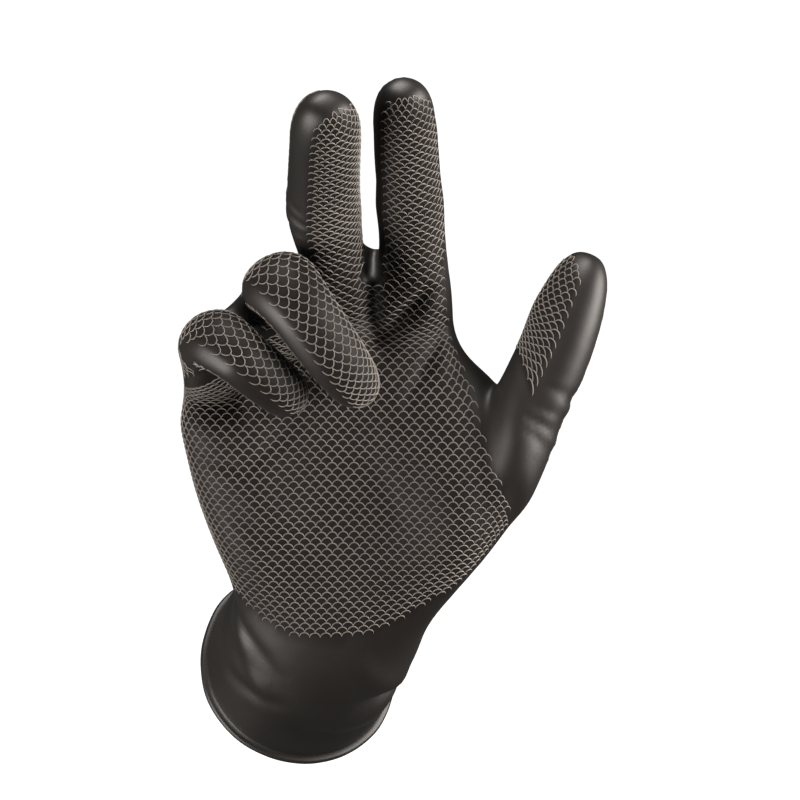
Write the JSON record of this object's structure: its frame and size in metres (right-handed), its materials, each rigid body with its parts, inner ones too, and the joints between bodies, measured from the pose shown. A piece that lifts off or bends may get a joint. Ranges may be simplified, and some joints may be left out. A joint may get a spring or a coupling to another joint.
{
  "type": "nitrile exam glove",
  "caption": "Disposable dipped nitrile glove in its worn form, with a rolled cuff and fish-scale grip on both faces, to keep hands clean and safe.",
  "frame": {"origin": "centre of the cuff's opening, at the outer edge of its rolled bead", "axes": "+Z from the wrist towards the fingertips, -Y the palm side, +X towards the thumb"},
  "size_m": [0.1241, 0.1434, 0.2213],
  "materials": {
    "nitrile_film": "soft satin, textured grip"
  },
  "bodies": {
    "root": {"glove": "nitrile_film"}
  },
  "joints": []
}
